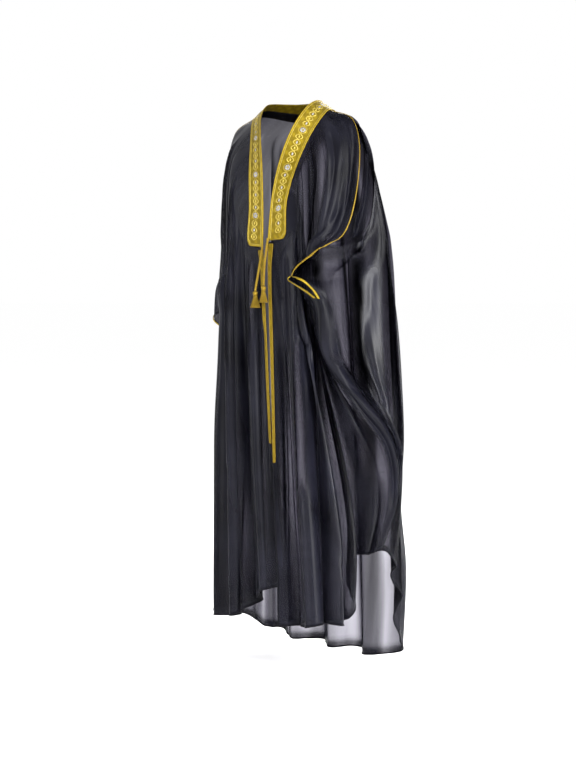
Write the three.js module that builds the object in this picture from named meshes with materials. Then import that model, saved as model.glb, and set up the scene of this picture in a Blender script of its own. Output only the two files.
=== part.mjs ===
import * as THREE from 'three';

// Open cloak (jubba of the bisht kind), worn and hollow. Millimetres, +Z up, front towards -Y,
// wearer's left towards +X. The origin is the middle of the shoulder line, where the wearer holds it up.

// ---- driving dimensions ----
const rightBandEnd = -388;    // height of the lower end of the wide band, right and left
const leftBandEnd = -371;
const rightCorner = -1302;    // height of the lower corner of each front's open edge
const leftCorner = -1408;
const cloth = 1.5;            // wall of the cloth
const bandWall = 1.6;         // wall of the embroidered band
const bandCorner = 0.75;      // share of the band's width left at its rounded lower corner
const seamGap = 0.4;          // room between stitched pieces
const stripWall = 1.2;
const stripEnd = 8.8;         // station at which the narrow gold edging stops
const pipingWidth = 4.2;
const pipingWall = 1.8;
const cuffWidth = 7;
const cuffWall = 1.4;
const cuffClearance = 0.6;    // more room for the edging of the hand openings
const trimClearance = 0.25;   // more room for narrow trim where the cloth bends sharply
const cordDiameter = 7;
const lineStep = 0.25;        // spacing of the cloth's points, in hang lines
const lap = 0.5;              // the cloth starts under the outer half of the band, stitched down on it

// ---- stations down the cloth: share of each hang line's drop below the band ----
const stations = [
  { name: 'inner', drop: 0 },
  { name: 'outer', drop: 0 },
  { name: 'shoulder', drop: 0.035 },
  { name: 'chest', drop: 0.09 },
  { name: 'elbow', drop: 0.19 },
  { name: 'forearm', drop: 0.25 },
  { name: 'waist', drop: 0.30 },
  { name: 'hip', drop: 0.38 },
  { name: 'thigh', drop: 0.49 },
  { name: 'knee', drop: 0.60 },
  { name: 'calf', drop: 0.72 },
  { name: 'shin', drop: 0.84 },
  { name: 'hem', drop: 1 },
];
const outer = 1;
const waist = 6;
const hip = 7;
const last = stations.length - 1;

// ---- level sections of the hanging cloth ----
const sections = [
  { z: -40, right: 165, left: 165, front: 60, back: 100, open: 14 },
  { z: -110, right: 200, left: 196, front: 100, back: 110, open: 14 },
  { z: -200, right: 213, left: 225, front: 128, back: 120, open: 14 },
  { z: -340, right: 220, left: 250, front: 142, back: 128, open: 20 },
  { z: -480, right: 232, left: 262, front: 150, back: 138, open: 30 },
  { z: -640, right: 240, left: 275, front: 152, back: 150, open: 41 },
  { z: -800, right: 247, left: 286, front: 152, back: 160, open: 50 },
  { z: -960, right: 253, left: 292, front: 154, back: 170, open: 60 },
  { z: -1120, right: 258, left: 296, front: 156, back: 180, open: 73 },
  { z: -1280, right: 268, left: 302, front: 160, back: 188, open: 90 },
  { z: -1540, right: 274, left: 302, front: 166, back: 198, open: 104 },
];

function section(z) {
  const top = sections[0];
  if (z >= top.z) return top;
  const below = sections.findIndex((row) => row.z <= z);
  const low = below < 0 ? sections[sections.length - 1] : sections[below];
  const high = below < 0 ? low : sections[below - 1];
  const k = high.z === low.z ? 0 : (z - high.z) / (low.z - high.z);
  const mix = (key) => high[key] + (low[key] - high[key]) * k;
  return { right: mix('right'), left: mix('left'), front: mix('front'), back: mix('back'), open: mix('open') };
}

// A point of the level section at an angle from the middle of the front; side is -1 right, 1 left.
function ringPoint(side, degrees, z) {
  const row = section(z);
  const angle = THREE.MathUtils.degToRad(degrees);
  const boxy = 0.86;
  const across = Math.sin(angle) ** boxy;
  const along = Math.abs(Math.cos(angle)) ** boxy;
  const half = side < 0 ? row.right : row.left;
  const front = degrees < 90;
  const x = side * half * across + (front ? row.open * along : 6 * along);
  const y = front ? -row.front * along : row.back * along;
  return new THREE.Vector3(x, y, z);
}

// ---- hang lines: from the band's inner edge over the body down to the hem ----
const rightLines = [
  { name: 'opening', angle: 0, hem: rightCorner, inner: [20, -143, rightBandEnd - 2],
    outer: [20, -143, rightBandEnd - 7] },
  { name: 'bandCorner', angle: 11, hem: -1326, inner: [20, -143, rightBandEnd],
    outer: [-30, -141, rightBandEnd] },
  { name: 'chestInner', angle: 20, hem: -1366, inner: [15, -136, -276], outer: [-37, -133, -276] },
  { name: 'chestMid', angle: 31, hem: -1402, inner: [3, -125, -172], outer: [-49, -119, -179] },
  { name: 'chestOuter', angle: 45, hem: -1418, inner: [-24, -98, -85], outer: [-72, -84, -92] },
  { name: 'armFront', angle: 64, hem: -1428, inner: [-58, -52, -22], outer: [-104, -38, -38] },
  { name: 'seam', angle: 86, hem: -1436, inner: [-74, -5, 10], outer: [-122, 0, -21] },
  { name: 'sleeve', angle: 104, hem: -1450, inner: [-72, 22, 15], outer: [-114, 38, -18] },
  { name: 'armBack', angle: 122, hem: -1474, inner: [-64, 42, 16], outer: [-98, 70, -22] },
  { name: 'backOuter', angle: 141, hem: -1506, inner: [-50, 56, 16], outer: [-74, 92, -28] },
  { name: 'backMid', angle: 160, hem: -1530, inner: [-26, 66, 15], outer: [-38, 106, -34] },
  { name: 'centreBack', angle: 180, hem: -1536, inner: [6, 70, 15], outer: [6, 110, -36] },
];
const leftLines = [
  { name: 'backMid', angle: 160, hem: -1540, inner: [32, 66, 15], outer: [45, 105, -34] },
  { name: 'backOuter', inner: [58, 56, 15], outer: [84, 92, -28] },
  { name: 'armBack', inner: [74, 42, 15], outer: [110, 70, -22] },
  { name: 'sleeve', inner: [84, 22, 15], outer: [128, 38, -17] },
  { name: 'seam', inner: [88, -5, 11], outer: [136, 0, -16] },
  { name: 'armFront', inner: [88, -45, -10], outer: [136, -28, -34] },
  { name: 'valley', inner: [76, -92, -70], outer: [124, -72, -92] },
  { name: 'chestMid', inner: [58, -124, -162], outer: [108, -112, -178] },
  { name: 'chestInner', angle: 25, hem: -1392, inner: [40, -134, -265], outer: [91, -130, -265] },
  { name: 'bandCorner', angle: 12, hem: -1404, inner: [33, -140, leftBandEnd],
    outer: [84, -137, leftBandEnd] },
  { name: 'opening', angle: 0, hem: leftCorner, inner: [33, -140, leftBandEnd - 2],
    outer: [33, -140, leftBandEnd - 7] },
];

// ---- the left sleeve, over a bent arm: where its hang lines pass at each station ----
const leftSleeve = {
  backOuter: {
    shoulder: [184, 75, -84], chest: [214, 90, -180], elbow: [240, 100, -335], forearm: [246, 108, -400],
    waist: [250, 116, -462], hip: [260, 130, -590], thigh: [270, 138, -760], knee: [276, 141, -920],
    calf: [268, 140, -1090], shin: [284, 144, -1270], hem: [276, 142, -1500],
  },
  armBack: {
    shoulder: [206, 32, -72], chest: [250, 38, -172], elbow: [282, 54, -335], forearm: [285, 66, -400],
    waist: [283, 80, -455], hip: [279, 98, -580], thigh: [286, 106, -740], knee: [296, 112, -890],
    calf: [294, 108, -1020], shin: [296, 104, -1150], hem: [306, 98, -1310],
  },
  sleeve: {
    shoulder: [218, 12, -58], chest: [280, -3, -158], elbow: [296, -32, -338], forearm: [280, -78, -416],
    waist: [252, -122, -474], hip: [256, -116, -550], thigh: [266, -76, -690], knee: [306, 4, -820],
    calf: [322, 70, -940], shin: [318, 84, -1080], hem: [304, 52, -1222],
  },
  seam: {
    shoulder: [212, -2, -44], chest: [264, -38, -150], elbow: [256, -101, -357], forearm: [207, -148, -397],
    waist: [152, -186, -470], hip: [222, -165, -528], thigh: [216, -132, -674], knee: [276, -44, -806],
    calf: [311, 50, -918], shin: [313, 74, -1070], hem: [290, 34, -1210],
  },
  armFront: {
    shoulder: [184, -50, -80], chest: [226, -88, -172], elbow: [218, -122, -325], forearm: [182, -142, -400],
    waist: [154, -148, -456], hip: [164, -136, -540], thigh: [190, -100, -690], knee: [244, -40, -845],
    calf: [276, 22, -970], shin: [280, 38, -1096], hem: [270, 6, -1218],
  },
  valley: {
    shoulder: [150, -98, -140], chest: [172, -116, -205], elbow: [170, -122, -320], forearm: [162, -118, -400],
    waist: [156, -110, -460], hip: [160, -100, -560], thigh: [174, -76, -720], knee: [190, -44, -880],
    calf: [200, -14, -1010], shin: [204, 2, -1110], hem: [204, 0, -1236],
  },
  chestMid: {
    shoulder: [120, -128, -222], chest: [130, -138, -285], elbow: [140, -146, -390], forearm: [146, -148, -450],
    waist: [152, -148, -510], hip: [166, -142, -600], thigh: [192, -126, -740], knee: [222, -104, -890],
    calf: [246, -80, -1060], shin: [258, -66, -1210], hem: [258, -70, -1392],
  },
};

// ---- the right sleeve's seam, over a hanging arm ----
const rightSeam = {
  shoulder: [-196, 0, -60], chest: [-208, -8, -165], elbow: [-214, -22, -340], forearm: [-219, -26, -440],
  waist: [-236, -20, -566], hip: [-208, 0, -628],
};

function hangLine(side, line) {
  const explicit = side > 0 ? leftSleeve[line.name] : (line.name === 'seam' ? rightSeam : undefined);
  return stations.map((station, j) => {
    if (j <= outer) return new THREE.Vector3(...line[station.name]);
    if (explicit && explicit[station.name]) return new THREE.Vector3(...explicit[station.name]);
    const z = line.outer[2] + (line.hem - line.outer[2]) * station.drop;
    const point = ringPoint(side, line.angle, z);
    if (side > 0 && line.name === 'opening') {
      point.add(new THREE.Vector3(13 - 14 * station.drop, -10 * station.drop, 0));
    }
    return point;
  });
}

const cage = [
  ...rightLines.map((line) => hangLine(-1, line)),
  ...leftLines.map((line) => hangLine(1, line)),
];
const lineCount = cage.length;
const seamRight = 6;
const seamLeft = 16;

const alongLines = cage.map((points) => new THREE.CatmullRomCurve3(points, false, 'centripetal'));

// ---- folds: soft ridges (depth > 0) and troughs (depth < 0), each from one station to another;
// its crest starts on one hang line and drifts to another, and its width is in hang lines ----
const folds = [
  // right front
  { from: 1.2, to: 12, line: 0.9, toLine: 0.8, width: 0.30, depth: 15 },
  { from: 1.6, to: 12, line: 1.7, toLine: 1.8, width: 0.28, depth: -21 },
  { from: 2.0, to: 12, line: 2.3, toLine: 2.4, width: 0.20, depth: 8 },
  { from: 1.4, to: 12, line: 2.8, toLine: 3.0, width: 0.32, depth: 19 },
  { from: 2.4, to: 12, line: 3.5, toLine: 3.5, width: 0.18, depth: -10 },
  { from: 3.0, to: 12, line: 4.1, toLine: 4.0, width: 0.26, depth: -26 },
  { from: 1.4, to: 7.0, line: 4.3, toLine: 4.5, width: 0.26, depth: -10 },
  { from: 1.6, to: 6.0, line: 5.2, toLine: 5.3, width: 0.28, depth: 3 },
  { from: 6.4, to: 12, line: 4.8, toLine: 4.7, width: 0.30, depth: 14 },
  { from: 7.2, to: 12, line: 5.6, toLine: 5.5, width: 0.24, depth: -16 },
  // right side and back
  { from: 7.4, to: 12, line: 6.5, toLine: 6.4, width: 0.26, depth: 13 },
  { from: 6.8, to: 12, line: 7.2, toLine: 7.1, width: 0.28, depth: -22 },
  { from: 3.0, to: 12, line: 7.9, toLine: 7.8, width: 0.32, depth: 20 },
  { from: 2.0, to: 12, line: 8.6, toLine: 8.5, width: 0.28, depth: -24 },
  { from: 1.6, to: 12, line: 9.1, toLine: 9.2, width: 0.26, depth: 17 },
  { from: 1.8, to: 12, line: 9.8, toLine: 9.8, width: 0.30, depth: -25 },
  { from: 1.5, to: 12, line: 10.4, toLine: 10.5, width: 0.30, depth: 21 },
  { from: 2.2, to: 12, line: 11.0, toLine: 11.1, width: 0.24, depth: -22 },
  { from: 1.5, to: 12, line: 11.6, toLine: 11.6, width: 0.30, depth: 23 },
  { from: 2.0, to: 12, line: 12.2, toLine: 12.2, width: 0.28, depth: -24 },
  { from: 1.8, to: 12, line: 12.8, toLine: 12.8, width: 0.28, depth: 17 },
  { from: 3.4, to: 12, line: 13.4, toLine: 13.5, width: 0.22, depth: -18 },
  { from: 6.0, to: 12, line: 14.2, toLine: 14.2, width: 0.24, depth: -13 },
  // left sleeve and the drape that swings from it
  { from: 2.4, to: 7.8, line: 14.2, toLine: 15.5, width: 0.30, depth: -20 },
  { from: 7.0, to: 10.4, line: 15.3, toLine: 15.6, width: 0.20, depth: -12 },
  { from: 7.2, to: 11.0, line: 14.8, toLine: 15.1, width: 0.24, depth: 11 },
  { from: 1.4, to: 5.4, line: 15.5, toLine: 15.4, width: 0.26, depth: -7 },
  // left front
  { from: 1.4, to: 6.6, line: 16.6, toLine: 16.7, width: 0.24, depth: -9 },
  { from: 1.4, to: 7.0, line: 17.3, toLine: 17.2, width: 0.26, depth: 9 },
  { from: 1.6, to: 9.0, line: 18.3, toLine: 18.4, width: 0.24, depth: 9 },
  { from: 1.8, to: 12, line: 18.8, toLine: 18.7, width: 0.24, depth: 10 },
  { from: 2.0, to: 12, line: 19.3, toLine: 19.1, width: 0.20, depth: -17 },
  { from: 1.8, to: 12, line: 19.6, toLine: 19.5, width: 0.18, depth: 9 },
  { from: 1.6, to: 12, line: 20.1, toLine: 19.9, width: 0.22, depth: -24 },
  { from: 1.4, to: 12, line: 20.6, toLine: 20.6, width: 0.32, depth: 19 },
  { from: 1.6, to: 12, line: 21.4, toLine: 21.4, width: 0.28, depth: -17 },
];

const foldGrowth = 0.5; // folds deepen towards the hem

function foldDepth(line, station) {
  let sum = 0;
  for (const fold of folds) {
    const k = (station - fold.from) / (fold.to - fold.from);
    if (k <= 0 || k > 1) continue;
    const away = (line - fold.line - (fold.toLine - fold.line) * k) / fold.width;
    const grown = THREE.MathUtils.smoothstep(k, 0, 0.55);
    const faded = fold.to < last ? 1 - THREE.MathUtils.smoothstep(k, 0.6, 1) : 1;
    sum += fold.depth * (1 + foldGrowth * k) * grown * faded * Math.exp(-away * away);
  }
  return sum;
}

// Smooth surface through the cage: line runs round the body, station runs down it.
function basePoint(line, station) {
  const across = alongLines.map((curve) => curve.getPoint(station / last));
  return new THREE.CatmullRomCurve3(across, false, 'centripetal').getPoint(line / (lineCount - 1));
}

function frameAt(pointAt, line, station) {
  const step = 0.03;
  const a = Math.max(line - step, 0);
  const b = Math.min(line + step, lineCount - 1);
  const up = Math.max(station - step, 0);
  const down = Math.min(station + step, last);
  const across = pointAt(b, station).sub(pointAt(a, station));
  const along = pointAt(line, down).sub(pointAt(line, up));
  return { across: across.normalize(), normal: new THREE.Vector3().crossVectors(across, along).normalize() };
}

function clothPoint(line, station) {
  const point = basePoint(line, station);
  const depth = foldDepth(line, station);
  if (Math.abs(depth) < 0.05) return point;
  const { normal } = frameAt(basePoint, line, station);
  return point.addScaledVector(normal, depth);
}

const openingReach = 2.4; // hang lines over which the lips of a hand opening pull the cloth aside

// The hand openings: between waist and hip the seam parts, front edge one way, back edge the other.
const handOpenings = [
  { seam: seamRight, front: [-8, -44, 6], back: [-6, 40, -6] },
  { seam: seamLeft, front: [-22, -12, 14], back: [14, -24, 19] },
];

function panelPoint(face, line, station) {
  const point = clothPoint(line, station);
  for (const opening of handOpenings) {
    if (station <= waist || station >= hip) continue;
    const near = Math.max(0, 1 - Math.abs(line - opening.seam) / openingReach);
    const gape = Math.sin(Math.PI * (station - waist)) * near * near;
    point.addScaledVector(new THREE.Vector3(...opening[face]), gape);
  }
  return point;
}

// ---- closed walls from a grid of points and normals ----
function wallGeometry(rows, thickness, lift) {
  const countI = rows.length;
  const countJ = rows[0].length;
  const positions = [];
  for (const side of [1, 0]) {
    for (const row of rows) {
      for (const { point, normal } of row) {
        const p = point.clone().addScaledVector(normal, lift + side * thickness);
        positions.push(p.x, p.y, p.z);
      }
    }
  }
  const at = (side, i, j) => (side ? 0 : countI * countJ) + i * countJ + j;
  const index = [];
  const quad = (a, b, c, d) => index.push(a, c, b, a, d, c);
  for (let i = 0; i < countI - 1; i += 1) {
    const k = i + 1;
    for (let j = 0; j < countJ - 1; j += 1) {
      quad(at(1, i, j), at(1, i, j + 1), at(1, k, j + 1), at(1, k, j));
      quad(at(0, i, j), at(0, k, j), at(0, k, j + 1), at(0, i, j + 1));
    }
    quad(at(0, i, 0), at(1, i, 0), at(1, k, 0), at(0, k, 0));
    quad(at(1, i, countJ - 1), at(0, i, countJ - 1), at(0, k, countJ - 1), at(1, k, countJ - 1));
  }
  for (let j = 0; j < countJ - 1; j += 1) {
    quad(at(1, 0, j), at(0, 0, j), at(0, 0, j + 1), at(1, 0, j + 1));
    quad(at(0, countI - 1, j), at(1, countI - 1, j), at(1, countI - 1, j + 1), at(0, countI - 1, j + 1));
  }
  const geometry = new THREE.BufferGeometry();
  geometry.setAttribute('position', new THREE.Float32BufferAttribute(positions, 3));
  geometry.setIndex(index);
  geometry.computeVertexNormals();
  return geometry;
}

function spread(from, to, count) {
  return Array.from({ length: count + 1 }, (_, i) => from + (to - from) * i / count);
}

const garment = new THREE.Group();

function addMesh(name, geometry, colour, roughness, metalness = 0) {
  const material = new THREE.MeshStandardMaterial({ color: colour, roughness, metalness });
  const mesh = new THREE.Mesh(geometry, material);
  mesh.name = name;
  garment.add(mesh);
}

const black = 0x1e1c24;
const gold = 0xb8962a;

const levels = [lap, 1, 1.5, 2.2, 3, 3.6, 4.1, 4.5, 4.9, 5.4, waist, 6.25, 6.5, 6.75, hip, 7.6, 8.2, 8.8,
  9.4, 10, 10.6, 11.3, last];

function addPanel(name, face, lineFrom, lineTo) {
  const pointAt = (line, station) => panelPoint(face, line, station);
  const lines = spread(lineFrom, lineTo, Math.round((lineTo - lineFrom) / lineStep));
  const rows = lines.map((line) => levels.map((station) => {
    const { across, normal } = frameAt(pointAt, line, station);
    const point = pointAt(line, station);
    const inset = line === lineFrom ? seamGap / 2 : (line === lineTo ? -seamGap / 2 : 0);
    return { point: point.addScaledVector(across, inset), normal };
  }));
  addMesh(name, wallGeometry(rows, cloth, -cloth / 2), black, 0.75);
  return { lineFrom, rows };
}

const frontRight = addPanel('front_right', 'front', 0, seamRight);
const back = addPanel('back', 'back', seamRight, seamLeft);
const frontLeft = addPanel('front_left', 'front', seamLeft, lineCount - 1);

// ---- what lies on the cloth: made from its points, moved out ----
const onCloth = cloth / 2 + seamGap;

// A place on a panel's own facets.
function onPanel(panel, line, station) {
  const along = THREE.MathUtils.clamp((line - panel.lineFrom) / lineStep, 0, panel.rows.length - 1);
  const i = Math.min(Math.floor(along), panel.rows.length - 2);
  const below = levels.findIndex((level) => level > station);
  const j = below < 0 ? levels.length - 2 : Math.max(below - 1, 0);
  const u = along - i;
  const v = (station - levels[j]) / (levels[j + 1] - levels[j]);
  const [a, b] = [panel.rows[i][j], panel.rows[i][j + 1]];
  const [d, c] = [panel.rows[i + 1][j], panel.rows[i + 1][j + 1]];
  const [p, q, r] = v >= u ? [a, b, c] : [a, d, c];
  const [m, n] = v >= u ? [v, u] : [u, v];
  const mix = (key) => p[key].clone()
    .addScaledVector(q[key].clone().sub(p[key]), m)
    .addScaledVector(r[key].clone().sub(q[key]), n);
  return { point: mix('point'), normal: mix('normal') };
}

// Embroidered band round the neck and down both fronts, its lower outer corners cut off.
function addBand(name, panel, lineFrom, lineTo) {
  const lines = spread(lineFrom, lineTo, Math.round((lineTo - lineFrom) / lineStep));
  const rows = lines.map((line, i) => {
    const atEnd = line === 1 || line === lineCount - 2;
    const width = atEnd ? bandCorner : 1;
    return spread(0, width, 4).map((station) => {
      const place = station < lap
        ? { point: clothPoint(line, station), normal: frameAt(clothPoint, line, station).normal }
        : onPanel(panel, line, station);
      const inset = i === 0 ? seamGap / 2 : (i === lines.length - 1 ? -seamGap / 2 : 0);
      place.point.addScaledVector(frameAt(clothPoint, line, station).across, inset);
      return place;
    });
  });
  addMesh(name, wallGeometry(rows, bandWall, onCloth), gold, 0.45, 0.6);
}
addBand('band_right', frontRight, 1, seamRight);
addBand('band_back', back, seamRight, seamLeft);
addBand('band_left', frontLeft, seamLeft, lineCount - 2);

// Narrow edging from the band down the front edge, one width of the cloth's own lines.
function addStrip(name, panel, lineFrom) {
  const stops = levels.filter((station) => station > lap && station <= stripEnd);
  const rows = spread(lineFrom, lineFrom + lineStep, 2).map((line) => (
    stops.map((station, j) => onPanel(panel, line, j === 0 ? station + 0.1 : station))
  ));
  addMesh(name, wallGeometry(rows, stripWall, onCloth), gold, 0.45, 0.6);
}
addStrip('strip_right', frontRight, 0);
addStrip('strip_left', frontLeft, lineCount - 1 - lineStep);

// A braid laid on a panel beside its edge; sign says which way the panel lies from that edge.
function besideEdge(panel, line, sign, station, away) {
  const edge = onPanel(panel, line, station).point;
  const perLine = edge.distanceTo(onPanel(panel, line + sign * lineStep, station).point) / lineStep;
  return onPanel(panel, line + sign * away / perLine, station);
}

// Flat braid over the shoulder and sleeve seam, from the band to the hand opening.
function addPiping(name, before, after, seam) {
  const end = waist - 0.04;
  const stops = [outer + 0.06, ...levels.filter((station) => station > outer && station < end), end];
  const half = pipingWidth / 2;
  const rows = [
    stops.map((station) => besideEdge(before, seam, -1, station, half)),
    stops.map((station) => {
      const [a, b] = [onPanel(before, seam, station), onPanel(after, seam, station)];
      return { point: a.point.lerp(b.point, 0.5), normal: a.normal.add(b.normal).normalize() };
    }),
    stops.map((station) => besideEdge(after, seam, 1, station, half)),
  ];
  addMesh(name, wallGeometry(rows, pipingWall, onCloth + trimClearance), gold, 0.45, 0.6);
}
addPiping('piping_right', frontRight, back, seamRight);
addPiping('piping_left', back, frontLeft, seamLeft);

// Gold edging along both lips of each hand opening.
function addCuff(name, panel, seam, sign) {
  const stops = [waist + 0.04, ...spread(waist + 0.25, hip - 0.25, 2), hip - 0.04];
  const rows = spread(0.4, cuffWidth, 1).map((away) => (
    stops.map((station) => besideEdge(panel, seam, sign, station, away))
  ));
  if (sign < 0) rows.reverse();
  addMesh(name, wallGeometry(rows, cuffWall, onCloth + cuffClearance), gold, 0.45, 0.6);
}
addCuff('cuff_right_front', frontRight, seamRight, -1);
addCuff('cuff_right_back', back, seamRight, 1);
addCuff('cuff_left_front', frontLeft, seamLeft, 1);
addCuff('cuff_left_back', back, seamLeft, -1);

// ---- cords and tassels at the lower ends of the band ----
const cords = [
  { side: 'right', skirt: 14.5,
    route: [[20.7, -149.2, -382], [21.2, -150.2, -390], [21.9, -153.3, -401], [22, -157, -416],
    [21, -160.5, -434], [19.5, -164, -454], [17.5, -167, -474], [15.5, -169.5, -492], [14, -171, -506]] },
  { side: 'left', skirt: 12.5,
    route: [[36.8, -146.3, -365], [37.1, -147.7, -374], [37.8, -151.5, -386], [38.4, -155.5, -403],
    [39, -159.5, -421], [39.6, -163, -439], [40.4, -166, -458], [41.2, -168.5, -477], [42, -170.5, -492]] },
];
const tassel = { knob: 7.2, neck: 5, knobHeight: 12, skirtHeight: 34, gap: seamGap + 0.4 };

for (const { side, skirt, route } of cords) {
  const path = new THREE.CatmullRomCurve3(route.map((p) => new THREE.Vector3(...p)), false, 'centripetal');
  const round = new THREE.Shape().absarc(0, 0, cordDiameter / 2, 0, Math.PI * 2);
  const tube = new THREE.ExtrudeGeometry(round, { steps: 16, curveSegments: 8, extrudePath: path });
  addMesh(`cord_${side}`, tube, gold, 0.5, 0.5);

  const end = route[route.length - 1];
  const { knob, neck, knobHeight, skirtHeight, gap } = tassel;
  const profile = [[0, 0], [knob * 0.7, -0.8], [knob, -knobHeight * 0.4], [knob * 0.85, -knobHeight * 0.8],
    [neck, -knobHeight], [neck * 1.35, -knobHeight - 3], [skirt * 0.82, -knobHeight - skirtHeight * 0.45],
    [skirt, -knobHeight - skirtHeight], [0, -knobHeight - skirtHeight]];
  const lathe = new THREE.LatheGeometry(profile.map(([r, z]) => new THREE.Vector2(r, z)).reverse(), 16);
  lathe.rotateX(Math.PI / 2);
  lathe.translate(end[0], end[1], end[2] - gap);
  addMesh(`tassel_${side}`, lathe, gold, 0.6, 0.4);
}

export default garment;
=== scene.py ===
import math

import bmesh
import bpy
import numpy as np
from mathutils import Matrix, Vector


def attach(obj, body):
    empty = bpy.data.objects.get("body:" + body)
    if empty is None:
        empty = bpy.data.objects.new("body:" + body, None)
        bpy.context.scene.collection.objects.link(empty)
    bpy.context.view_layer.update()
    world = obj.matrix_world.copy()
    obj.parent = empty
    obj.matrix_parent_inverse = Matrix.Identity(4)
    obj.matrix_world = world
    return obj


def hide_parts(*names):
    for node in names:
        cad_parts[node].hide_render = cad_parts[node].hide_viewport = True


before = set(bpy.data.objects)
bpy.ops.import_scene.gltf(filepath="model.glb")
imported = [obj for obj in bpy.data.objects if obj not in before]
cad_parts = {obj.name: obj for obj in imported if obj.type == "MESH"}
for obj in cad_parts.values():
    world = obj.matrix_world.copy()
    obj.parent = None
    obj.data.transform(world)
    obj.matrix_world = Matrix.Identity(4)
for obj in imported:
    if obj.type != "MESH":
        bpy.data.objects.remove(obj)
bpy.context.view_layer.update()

scene = bpy.context.scene
print("frame loaded")


def addObject(name, data):
    made = bpy.data.objects.new(name, data)
    scene.collection.objects.link(made)
    return made


# direction of a place that is so many degrees round from straight in front, and so many up
def towards(azimuth, elevation):
    turn, rise = math.radians(azimuth), math.radians(elevation)
    return Vector((math.sin(turn) * math.cos(rise), -math.cos(turn) * math.cos(rise), math.sin(rise)))


# camera
shot = {
    "azimuth": 38.0,        # degrees round towards the wearer's left, from straight in front
    "elevation": 3.5,
    "distance": 4.5,
    "aim": (-0.0047, -0.0037, -0.767),
    "frameHeight": 2.1504,  # metres that the upright frame takes in at the aim
    "clipEnd": 100,
}


def makeCamera(shot):
    away = towards(shot["azimuth"], shot["elevation"])
    data = bpy.data.cameras.new("camera")
    data.sensor_fit = "VERTICAL"
    data.angle_y = 2 * math.atan(shot["frameHeight"] / 2 / shot["distance"])
    data.clip_end = shot["clipEnd"]
    camera = addObject("camera", data)
    camera.location = Vector(shot["aim"]) + away * shot["distance"]
    camera.rotation_euler = (-away).to_track_quat("-Z", "Y").to_euler()
    scene.camera = camera


makeCamera(shot)


# materials
def newMaterial(name, **values):
    material = bpy.data.materials.new(name)
    material.use_nodes = True
    shader = material.node_tree.nodes["Principled BSDF"]
    for socket, value in values.items():
        shader.inputs[socket.replace("_", " ")].default_value = value
    return material, material.node_tree, shader


def addNode(tree, kind, inputs=None, **settings):
    node = tree.nodes.new(kind)
    for name, value in settings.items():
        setattr(node, name, value)
    for name, value in (inputs or {}).items():
        if isinstance(value, bpy.types.NodeSocket):
            tree.links.new(value, node.inputs[name])
        else:
            node.inputs[name].default_value = value
    return node


def mathNode(tree, operation, *values):
    return addNode(tree, "ShaderNodeMath", dict(enumerate(values)), operation=operation).outputs[0]


def mapRange(tree, value, span, result, **settings):
    names = ("From Min", "From Max", "To Min", "To Max")
    inputs = {"Value": value, **dict(zip(names, (*span, *result)))}
    return addNode(tree, "ShaderNodeMapRange", inputs, **settings).outputs["Result"]


def mapped(tree, coords, **values):
    return addNode(tree, "ShaderNodeMapping", {"Vector": coords, **values}).outputs["Vector"]


def noise(tree, coords, scale, detail):
    inputs = {"Vector": coords, "Scale": scale, "Detail": detail}
    return addNode(tree, "ShaderNodeTexNoise", inputs).outputs["Fac"]


# so many bands to the metre, light and dark both counted
def wave(tree, coords, bands, direction, distortion=0.0):
    inputs = {"Vector": coords, "Scale": bands / 20 * math.pi, "Distortion": distortion, "Detail": 1.0,
              "Detail Scale": 2.0}
    node = addNode(tree, "ShaderNodeTexWave", inputs, wave_type="BANDS", bands_direction=direction)
    return node.outputs["Fac"]


def paint(tree, shader, fac, *stops):
    ramp = addNode(tree, "ShaderNodeValToRGB", {"Fac": fac})
    for element, (place, colour) in zip(ramp.color_ramp.elements, stops):
        element.position = place
        element.color = (*colour, 1)
    tree.links.new(ramp.outputs["Color"], shader.inputs["Base Color"])


def bump(tree, shader, height, strength, distance):
    node = addNode(tree, "ShaderNodeBump", {"Height": height, "Strength": strength, "Distance": distance})
    tree.links.new(node.outputs["Normal"], shader.inputs["Normal"])


clothWall = 0.0005
chiffonLook = {
    "roughness": 0.36, "gloss": 0.065,
    "sheen": 0.02, "sheenRoughness": 0.4, "sheenTint": (0.62, 0.62, 0.74),
    "heights": (-1.30, -0.50),  # the cloth thins downwards between these; the denser top is partly fuller gathers and partly painted shade standing in for the wearer's body behind it
    "faceAlpha": (0.43, 0.47),  # at those heights; each layer has two faces, and the yarn takes up the rest
    "letsThrough": 0.34,        # share of light that the yarn lets straight through
    "tint": (0.05, 0.03, 0.13),
    "layersAndShadeAlpha": (0.02, 2.4),    # alpha is multiplied by these where one thin layer shows or a ridge gets painted highlight, and where many lie or painted shade falls
    "pleats": (17.0, 1.0, 1.0), # how fine the soft pleats are across and down, per metre
    "pleatDetail": 2.0, "pleatDepth": 0.0032, "relief": 0.8,
    "crowded": (0.3, 0.7), "fuller": (0.80, 1.22),  # the cloth is denser where pleats crowd
    "deep": (0.001, 0.001, 0.002), "lit": (0.006, 0.006, 0.010),
    "mottleScale": 7.0, "mottleDetail": 5.0, "mottle": (0.3, 0.72),
    "yarnsPerMetre": 1900, "crepeScale": 420.0, "crepeDetail": 3.0, "fine": 0.01,
}


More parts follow.
